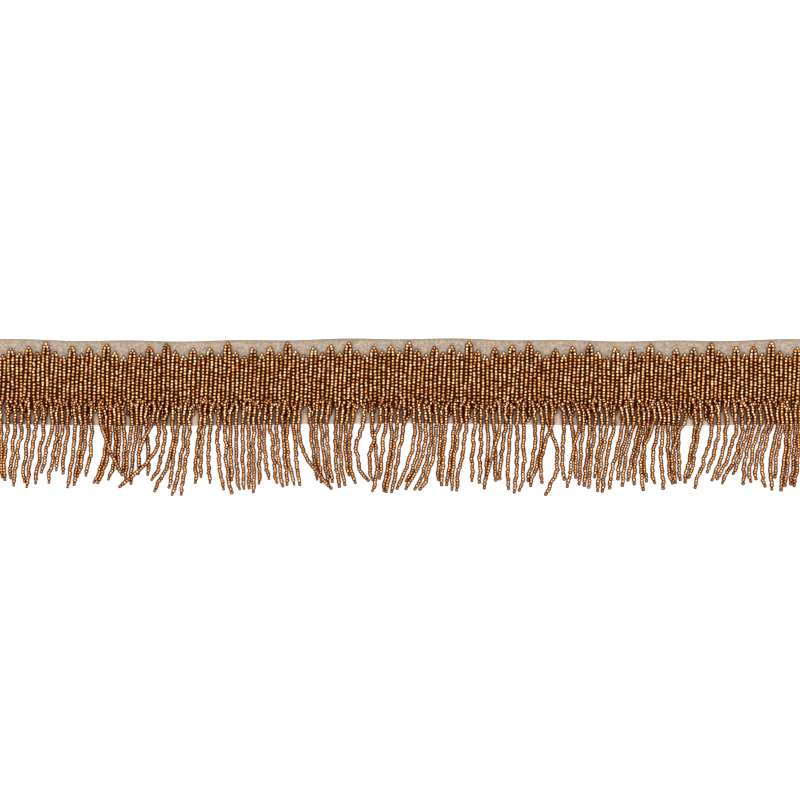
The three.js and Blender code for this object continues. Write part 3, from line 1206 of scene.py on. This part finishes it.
def mix(
    tree: Tree, share: Socket | float, first: Socket | Colour, second: Socket | Colour, way: str = "MIX"
) -> Socket:
    """Two colours mixed by a Mix node.

    Args:
        tree: The material's node tree.
        share: How much of the second colour there is, from 0 to 1.
        first: The first colour.
        second: The second colour.
        way: The node's way of mixing.

    Returns:
        The output with the mixed colour.
    """
    made = node(tree, "ShaderNodeMix", data_type="RGBA", blend_type=way)
    for place, source in ((MIX_SHARE, share), (MIX_FIRST, first), (MIX_SECOND, second)):
        feed(tree, made.inputs[place], source)
    return made.outputs[MIX_RESULT]


def speckle_group() -> Tree:
    """The shared effect of uneven fabric, thread and bead skins, built once.

    Returns:
        A group with Scale, Low and High in, and Value out: fine noise mapped between Low and High.
    """
    name = "speckle"
    if name in bpy.data.node_groups:
        return bpy.data.node_groups[name]
    group = bpy.data.node_groups.new(name, "ShaderNodeTree")
    for label, default in (("Scale", 500.0), ("Low", 0.0), ("High", 1.0)):
        socket = group.interface.new_socket(name=label, in_out="INPUT", socket_type="NodeSocketFloat")
        socket.default_value = default
    group.interface.new_socket(name="Value", in_out="OUTPUT", socket_type="NodeSocketFloat")
    inside, outside = node(group, "NodeGroupInput"), node(group, "NodeGroupOutput")
    place = node(group, "ShaderNodeTexCoord")
    noise = node(group, "ShaderNodeTexNoise")
    noise.inputs["Detail"].default_value = NOISE_DETAIL
    spread = node(group, "ShaderNodeMapRange")
    spread.inputs["From Min"].default_value, spread.inputs["From Max"].default_value = NOISE_RANGE
    group.links.new(place.outputs["Object"], noise.inputs["Vector"])
    group.links.new(inside.outputs["Scale"], noise.inputs["Scale"])
    group.links.new(noise.outputs["Fac"], spread.inputs["Value"])
    group.links.new(inside.outputs["Low"], spread.inputs["To Min"])
    group.links.new(inside.outputs["High"], spread.inputs["To Max"])
    group.links.new(spread.outputs["Result"], outside.inputs["Value"])
    return group


@dataclass(frozen=True)
class Speckle:
    """The shared speckle effect with a finish's own values."""

    scale: float
    low: float = 0.0
    high: float = 1.0

    def place(self, tree: Tree) -> Socket:
        """Puts the effect into a material.

        Args:
            tree: The material's node tree.

        Returns:
            The output with the speckles' values.
        """
        made = node(tree, "ShaderNodeGroup", node_tree=speckle_group())
        made.inputs["Scale"].default_value = self.scale
        made.inputs["Low"].default_value = self.low
        made.inputs["High"].default_value = self.high
        return made.outputs["Value"]


@dataclass(frozen=True)
class Relief:
    """Fine bumps. The distance is how high they are, in metres."""

    strength: float
    distance: float

    def place(self, tree: Tree, height: Socket, skin: bpy.types.Node) -> None:
        """Bends a Principled BSDF's normal by a height.

        Args:
            tree: The material's node tree.
            height: The output with the height, from 0 to 1.
            skin: The Principled BSDF.
        """
        bump = node(tree, "ShaderNodeBump")
        bump.inputs["Strength"].default_value = self.strength
        bump.inputs["Distance"].default_value = self.distance
        tree.links.new(height, bump.inputs["Height"])
        tree.links.new(bump.outputs["Normal"], skin.inputs["Normal"])


class Finish:
    """What the finishes share: a new material with its Principled BSDF."""

    def start(self, name: str) -> tuple[Material, Tree, bpy.types.Node]:
        """Starts a material.

        Args:
            name: Its name.

        Returns:
            The new material, its node tree and its Principled BSDF.
        """
        material = bpy.data.materials.new(name)
        material.use_nodes = True
        return material, material.node_tree, material.node_tree.nodes["Principled BSDF"]


@dataclass(frozen=True)
class BronzeFinish(Finish):
    """Metal-coated glass: each bead has its own depth of bronze and its own polish.

    Where a bead's skin slopes away from the trim's face, its colour goes over to a painted shade
    colour on the bead's sides. The slope is the length of the normal after its X, Y and Z have
    been multiplied by slope_weights, which leaves out Z.
    """

    name: str = "bronze_beads"
    dark: Colour = (0.42, 0.19, 0.06)
    middle: Colour = (0.66, 0.39, 0.175)
    light: Colour = (0.86, 0.65, 0.41)
    # Painted shade: the colour that a bead's sloping sides go over to.
    painted_side_shade: Colour = (0.46, 0.165, 0.042)
    grazing: Colour = (0.30, 0.12, 0.05)
    slope_weights: Place = (1.3, 0.7, 0.0)
    # Painted shade starts at the first slope and is full at the second.
    side_shade_from: float = 0.6
    side_shade_to: float = 1.0
    smoothest: float = 0.16
    roughest: float = 0.32
    wear: Speckle = Speckle(900.0, 0.82)
    grain: Speckle = Speckle(1400.0)
    relief: Relief = Relief(0.25, 0.00008)

    def material(self) -> Material:
        """Builds the finish, which reads the attributes tone and polish.

        Returns:
            The beads' material.
        """
        material, tree, skin = self.start(self.name)
        ramp = node(tree, "ShaderNodeValToRGB")
        ramp.color_ramp.elements[0].color = (*self.dark, 1)
        ramp.color_ramp.elements[1].color = (*self.light, 1)
        ramp.color_ramp.elements.new(0.5).color = (*self.middle, 1)
        tree.links.new(attribute(tree, "tone"), ramp.inputs["Fac"])
        worn = mix(tree, 1.0, ramp.outputs["Color"], self.wear.place(tree), way="MULTIPLY")
        # Painted shade: each bead's colour darkens towards its sides, by how far its skin slopes.
        side_shaded = mix(tree, self.slope(tree), worn, self.painted_side_shade)
        tree.links.new(side_shaded, skin.inputs["Base Color"])
        rough = node(tree, "ShaderNodeMapRange")
        rough.inputs["To Min"].default_value = self.smoothest
        rough.inputs["To Max"].default_value = self.roughest
        tree.links.new(attribute(tree, "polish"), rough.inputs["Value"])
        tree.links.new(rough.outputs["Result"], skin.inputs["Roughness"])
        self.relief.place(tree, self.grain.place(tree), skin)
        skin.inputs["Metallic"].default_value = 1.0
        skin.inputs["Specular Tint"].default_value = (*self.grazing, 1)
        return material

    def slope(self, tree: Tree) -> Socket:
        """How far a bead's skin slopes, which sets its painted side shade: 0 up to side_shade_from, and 1
        from side_shade_to on.

        Args:
            tree: The material's node tree.

        Returns:
            The output with the slope.
        """
        surface = node(tree, "ShaderNodeTexCoord")
        aside = node(tree, "ShaderNodeVectorMath", operation="MULTIPLY")
        aside.inputs[1].default_value = self.slope_weights
        length = node(tree, "ShaderNodeVectorMath", operation="LENGTH")
        edge = node(tree, "ShaderNodeMapRange", interpolation_type="SMOOTHSTEP")
        edge.inputs["From Min"].default_value = self.side_shade_from
        edge.inputs["From Max"].default_value = self.side_shade_to
        tree.links.new(surface.outputs["Normal"], aside.inputs[0])
        tree.links.new(aside.outputs["Vector"], length.inputs[0])
        tree.links.new(length.outputs["Value"], edge.inputs["Value"])
        return edge.outputs["Result"]


@dataclass(frozen=True)
class LooseBronzeFinish(BronzeFinish):
    """The fringe's bronze: its beads get painted shade sooner towards their sides, and stand out one by one.
    """

    name: str = "bronze_beads_fringe"
    dark: Colour = (0.36, 0.155, 0.045)
    middle: Colour = (0.63, 0.365, 0.16)
    light: Colour = (0.88, 0.66, 0.42)
    # Painted shade on the sloping sides of the fringe's beads, starting sooner.
    painted_side_shade: Colour = (0.44, 0.16, 0.038)
    grazing: Colour = (0.5, 0.25, 0.1)
    side_shade_from: float = 0.2
    side_shade_to: float = 0.92


@dataclass(frozen=True)
class TapeFinish(Finish):
    """Beige woven tape, mottled, with a darker turned edge, painted shade under and beside the beads, and
    painted light on its lower part away from them.
    """

    name: str = "tape_weave"
    shade: Colour = (0.28, 0.228, 0.182)
    light: Colour = (0.475, 0.402, 0.33)
    # Painted shade: the dark brown painted on the tape under the loops and beside the strands.
    painted_shade: Colour = (0.17, 0.038, 0.005)
    edge: Colour = (0.30, 0.185, 0.10)
    # Painted light: the paler colour painted on the lower part of the tape away from the strands.
    bare: Colour = (0.68, 0.56, 0.45)
    mottle: Speckle = Speckle(750.0)
    weave_pitch: float = 0.55
    weave_distortion: float = 1.2
    relief: Relief = Relief(0.5, 0.00012)
    roughness: float = 0.92
    specular: float = 0.2

    def material(self) -> Material:
        """Builds the finish, which reads the attributes border, turned_edge and painted_shade_mask.

        Returns:
            The tape's material.
        """
        material, tree, skin = self.start(self.name)
        cloth = mix(tree, self.mottle.place(tree), self.shade, self.light)
        # Over the mottled cloth come painted light on the lower part, the turned edge's line, then painted
        # shade.
        for name, colour in (("border", self.bare), ("turned_edge", self.edge), ("painted_shade_mask", self.painted_shade)):
            cloth = mix(tree, attribute(tree, name), cloth, colour)
        tree.links.new(cloth, skin.inputs["Base Color"])
        self.relief.place(tree, self.weave(tree), skin)
        skin.inputs["Roughness"].default_value = self.roughness
        skin.inputs["Specular IOR Level"].default_value = self.specular
        return material

    def weave(self, tree: Tree) -> Socket:
        """The height of the weave: waves along the tape times waves across it.

        A wave is as long as two yarns, one up and one down.

        Args:
            tree: The material's node tree.

        Returns:
            The output with the height.
        """
        place = node(tree, "ShaderNodeTexCoord")
        both = node(tree, "ShaderNodeMath", operation="MULTIPLY")
        for direction, factor in (("X", both.inputs[0]), ("Y", both.inputs[1])):
            yarn = node(tree, "ShaderNodeTexWave", wave_type="BANDS", bands_direction=direction)
            yarn.inputs["Scale"].default_value = WAVE_LENGTH / (2 * self.weave_pitch * MM)
            yarn.inputs["Distortion"].default_value = self.weave_distortion
            tree.links.new(place.outputs["Object"], yarn.inputs["Vector"])
            tree.links.new(yarn.outputs["Fac"], factor)
        return both.outputs[0]


@dataclass(frozen=True)
class ThreadFinish(Finish):
    """Brown sewing thread."""

    name: str = "brown_thread"
    shade: Colour = (0.11, 0.055, 0.025)
    light: Colour = (0.22, 0.12, 0.06)
    mottle: Speckle = Speckle(2000.0)
    roughness: float = 0.75

    def material(self) -> Material:
        """Builds the finish.

        Returns:
            The thread's material.
        """
        material, tree, skin = self.start(self.name)
        tree.links.new(mix(tree, self.mottle.place(tree), self.shade, self.light), skin.inputs["Base Color"])
        skin.inputs["Roughness"].default_value = self.roughness
        return material


@dataclass(frozen=True)
class FloorFinish(Finish):
    """A white sweep for the camera, which the beads see as a dimmer one."""

    name: str = "pale_floor"
    seen: float = 0.46
    reflected: float = 0.3

    def material(self) -> Material:
        """Builds the finish: light of its own for the camera, and a matt grey otherwise.

        Returns:
            The floor's material.
        """
        material, tree, skin = self.start(self.name)
        skin.inputs["Base Color"].default_value = grey(self.reflected)
        skin.inputs["Roughness"].default_value = 1.0
        skin.inputs["Emission Color"].default_value = grey(self.seen)
        ray = node(tree, "ShaderNodeLightPath")
        tree.links.new(ray.outputs["Is Camera Ray"], skin.inputs["Emission Strength"])
        material.cycles.emission_sampling = "NONE"
        return material


@dataclass(frozen=True)
class SoftBox:
    """A square lamp that looks straight down. Sizes are in metres."""

    name: str
    side: float
    height: float
    brightness: float

    def build(self) -> None:
        """Hangs the lamp. Its power is its brightness times pi times its area."""
        light = bpy.data.lights.new(self.name, "AREA")
        light.shape = "SQUARE"
        light.size = self.side
        light.energy = self.brightness * math.pi * self.side**2
        lamp = bpy.data.objects.new(self.name, light)
        lamp.location = (0, 0, self.height)
        bpy.context.scene.collection.objects.link(lamp)


@dataclass(frozen=True)
class Studio:
    """The floor, the lamps, the dim surroundings, and the camera straight above the trim.

    Sizes are in metres, but lens, sensor and floor_gap in millimetres.
    """

    view_width: float = 0.449
    view_centre: float = -0.010
    lens: float = 135.0
    sensor: float = 36.0
    floor_side: float = 6.0
    floor_gap: float = 0.05
    surroundings: float = 0.32
    exposure: float = 0.69
    gamma: float = 0.8
    boxes: tuple[SoftBox, ...] = (SoftBox("key", 2.0, 2.4, 1.88), SoftBox("dome", 14.0, 2.7, 0.40))

    def camera(self) -> None:
        """Places the camera so that the view is almost as wide as the trim is long."""
        lens = bpy.data.cameras.new("camera")
        lens.lens, lens.sensor_width = self.lens, self.sensor
        eye = bpy.data.objects.new("camera", lens)
        eye.location = (0, self.view_centre, self.view_width * self.lens / self.sensor)
        bpy.context.scene.collection.objects.link(eye)
        bpy.context.scene.camera = eye

    def floor(self) -> None:
        """Lays the floor, a hair below the trim."""
        half = self.floor_side / 2 / MM
        corners = [(-half, -half), (half, -half), (half, half), (-half, half)]
        points = np.array([(x, y, -self.floor_gap) for x, y in corners])
        floor = mesh_object("floor", points, np.array([[0, 1, 2, 3]]))
        floor.data.materials.append(FloorFinish().material())

    def surround(self) -> None:
        """Lights the scene from all round, evenly and dimly."""
        world = bpy.data.worlds.new("studio")
        world.use_nodes = True
        world.node_tree.nodes["Background"].inputs["Color"].default_value = grey(self.surroundings)
        bpy.context.scene.world = world

    def build(self) -> None:
        """Sets up the whole studio, and how the picture is displayed."""
        self.camera()
        self.floor()
        for box in self.boxes:
            box.build()
        self.surround()
        display = bpy.context.scene.view_settings
        display.view_transform = "Standard"
        display.exposure, display.gamma = self.exposure, self.gamma


def main() -> None:
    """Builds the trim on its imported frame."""
    logging.basicConfig(level=logging.INFO, format="%(message)s")
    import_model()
    rng = np.random.default_rng(SEED)
    trim = Trim()
    Studio().build()
    bronze, cotton = BronzeFinish().material(), ThreadFinish().material()
    loose_bronze = LooseBronzeFinish().material()
    heading, fringe = Heading(trim), Fringe(trim)
    strands = fringe.lay()
    tape = Tape(trim, heading, strands).build(TapeFinish().material())
    sewn_on = heading.build(rng, bronze, cotton) + fringe.build(strands, rng, loose_bronze, cotton)


if __name__ == "__main__":
    main()
